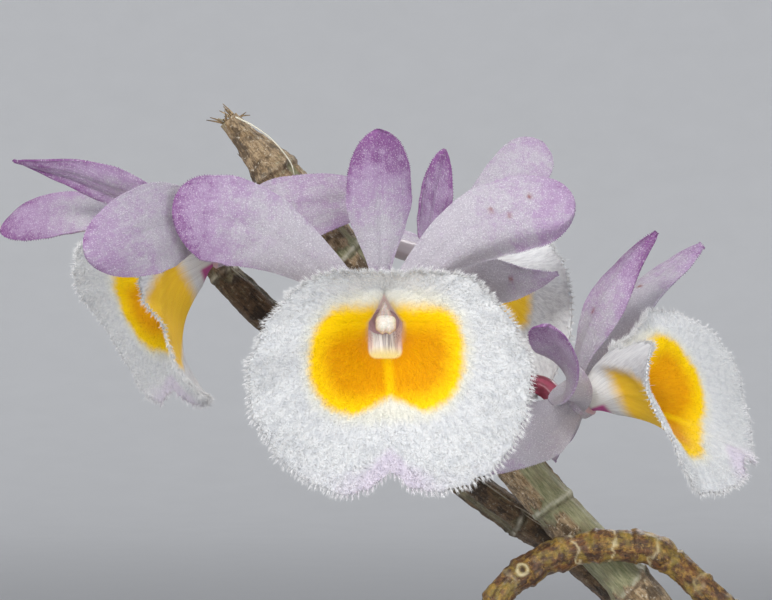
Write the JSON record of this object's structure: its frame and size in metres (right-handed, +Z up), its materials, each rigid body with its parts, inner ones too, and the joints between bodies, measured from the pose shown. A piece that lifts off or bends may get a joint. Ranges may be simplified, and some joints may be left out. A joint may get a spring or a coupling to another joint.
{
  "type": "potted orchid",
  "caption": "Potted Dendrobium primulinum: lilac blooms with round white lips and yellow throats on an arching leafless cane, in a plain clay pot of bark.",
  "frame": {"origin": "middle of the pot's flat underside", "axes": "+Z up; the centre bloom looks along -Y, toward the picture's viewer; the canes lean and bloom toward -X"},
  "size_m": [0.2151, 0.116, 0.3069],
  "materials": {
    "terracotta": "unglazed, matt",
    "bark": "rough",
    "root": "spongy, matt",
    "cane": "dry papery sheath",
    "old_cane": "shrivelled, slightly waxy",
    "sepal_and_petal": "soft, faintly sparkling",
    "lip": "velvety with fine hairs",
    "column": "waxy",
    "flower_stalk": "smooth, waxy"
  },
  "bodies": {
    "root": {"pot": "terracotta", "bark": "bark", "rhizome_and_roots": "root", "flowering_cane": "cane", "back_cane": "cane", "old_cane": "old_cane", "centre_bloom_sepals_and_petals": "sepal_and_petal", "centre_bloom_lip": "lip", "centre_bloom_column": "column", "centre_bloom_stalk": "flower_stalk", "left_bloom_sepals_and_petals": "sepal_and_petal", "left_bloom_lip": "lip", "left_bloom_column": "column", "left_bloom_stalk": "flower_stalk", "rear_bloom_sepals_and_petals": "sepal_and_petal", "rear_bloom_lip": "lip", "rear_bloom_column": "column", "rear_bloom_stalk": "flower_stalk", "right_bloom_sepals_and_petals": "sepal_and_petal", "right_bloom_lip": "lip", "right_bloom_column": "column", "right_bloom_stalk": "flower_stalk"}
  },
  "joints": []
}
